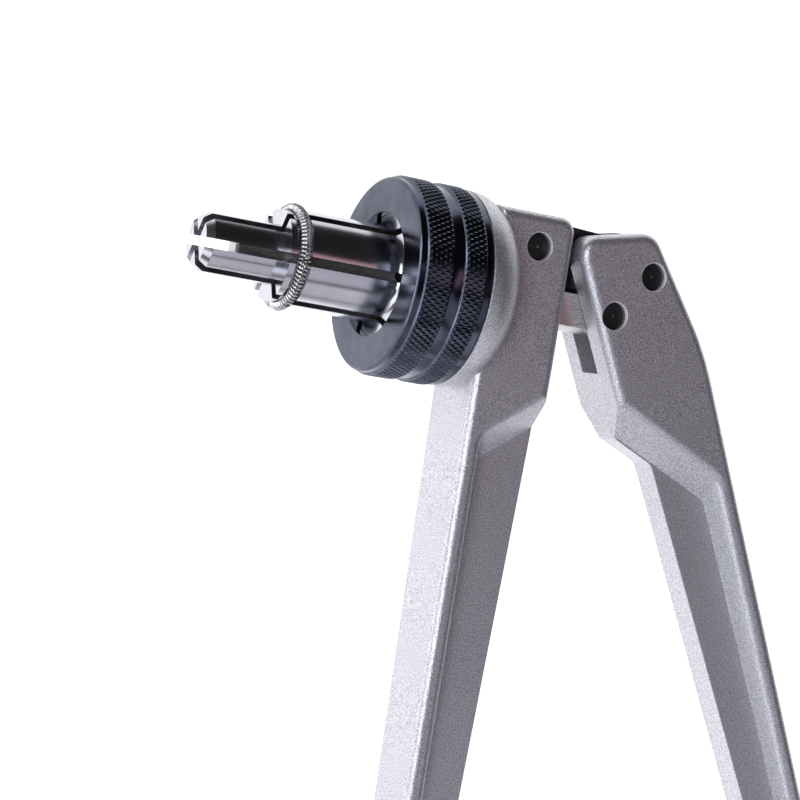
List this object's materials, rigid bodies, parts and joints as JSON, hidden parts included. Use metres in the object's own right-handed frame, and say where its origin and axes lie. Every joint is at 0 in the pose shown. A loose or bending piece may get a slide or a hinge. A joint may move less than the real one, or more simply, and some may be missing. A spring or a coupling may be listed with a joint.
{
  "type": "pex pipe expander",
  "caption": "Hand expander for PEX pipe: two cast handles push a cone through a ring of jaws behind a knurled collar.",
  "frame": {"origin": "on the head's axis, in the plane of the jaws' shoulder that the pipe stops against", "axes": "-X points out of the nose along the head's axis, the handles point to -Y, Z is across the castings"},
  "size_m": [0.2691, 0.385, 0.04],
  "materials": {
    "casting": "satin metallic silver",
    "black_collar": "black anodised",
    "chrome_jaws": "polished",
    "spring_steel": "bright wire",
    "steel": "ground",
    "bronze": "turned",
    "black_steel": "black oxide",
    "grip_rubber": "matt"
  },
  "bodies": {
    "front_frame": {"front_handle": "casting", "thread_sleeve": "steel", "guide_bush": "bronze", "collar": "black_collar", "jaw_retainer": "steel", "garter_spring": "spring_steel", "link_front_pin": "black_steel", "front_grip": "grip_rubber"},
    "push_rod": {"ram": "steel", "cone": "steel", "cone_pin": "black_steel"},
    "rear_lever": {"rear_handle": "casting", "link_rear_pin": "black_steel", "ram_pin": "black_steel", "rear_grip": "grip_rubber"},
    "tie_link": {"link": "black_steel"},
    "jaw_body_1": {"jaw_1": "chrome_jaws"},
    "jaw_body_2": {"jaw_2": "chrome_jaws"},
    "jaw_body_3": {"jaw_3": "chrome_jaws"},
    "jaw_body_4": {"jaw_4": "chrome_jaws"},
    "jaw_body_5": {"jaw_5": "chrome_jaws"},
    "jaw_body_6": {"jaw_6": "chrome_jaws"}
  },
  "joints": [
    {"name": "ram_slide", "type": "slide", "parent": "front_frame", "child": "push_rod", "axis": [1, 0, 0], "range_m": [-0.0045, 0.00692]},
    {"name": "handle_squeeze", "type": "hinge", "parent": "push_rod", "child": "rear_lever", "pos_m": [0.0722, 0, 0], "axis": [0, 0, 1], "range_deg": [-26, 40], "deforming": ["garter_spring"]},
    {"name": "link_pivot", "type": "hinge", "parent": "rear_lever", "child": "tie_link", "pos_m": [0.07968, 0.0092, 0], "axis": [0, 0, 1], "range_deg": [-31, 20.2]},
    {"name": "jaw_1_slide", "type": "slide", "parent": "front_frame", "child": "jaw_body_1", "axis": [0, -0.5446, 0.8387], "range_m": [-0.0013, 0.00085]},
    {"name": "jaw_2_slide", "type": "slide", "parent": "front_frame", "child": "jaw_body_2", "axis": [0, -0.9986, -0.0523], "range_m": [-0.0013, 0.00085]},
    {"name": "jaw_3_slide", "type": "slide", "parent": "front_frame", "child": "jaw_body_3", "axis": [0, -0.454, -0.891], "range_m": [-0.0013, 0.00085]},
    {"name": "jaw_4_slide", "type": "slide", "parent": "front_frame", "child": "jaw_body_4", "axis": [0, 0.5446, -0.8387], "range_m": [-0.0013, 0.00085]},
    {"name": "jaw_5_slide", "type": "slide", "parent": "front_frame", "child": "jaw_body_5", "axis": [0, 0.9986, 0.0523], "range_m": [-0.0013, 0.00085]},
    {"name": "jaw_6_slide", "type": "slide", "parent": "front_frame", "child": "jaw_body_6", "axis": [0, 0.454, 0.891], "range_m": [-0.0013, 0.00085]}
  ],
  "couplings": [
    {"joint": "ram_slide", "follows": "handle_squeeze", "m_per_rad": 0.0098842},
    {"joint": "link_pivot", "follows": "handle_squeeze", "ratio": -0.7743},
    {"joint": "jaw_1_slide", "follows": "handle_squeeze", "m_per_rad": -0.00185},
    {"joint": "jaw_2_slide", "follows": "handle_squeeze", "m_per_rad": -0.00185},
    {"joint": "jaw_3_slide", "follows": "handle_squeeze", "m_per_rad": -0.00185},
    {"joint": "jaw_4_slide", "follows": "handle_squeeze", "m_per_rad": -0.00185},
    {"joint": "jaw_5_slide", "follows": "handle_squeeze", "m_per_rad": -0.00185},
    {"joint": "jaw_6_slide", "follows": "handle_squeeze", "m_per_rad": -0.00185}
  ]
}
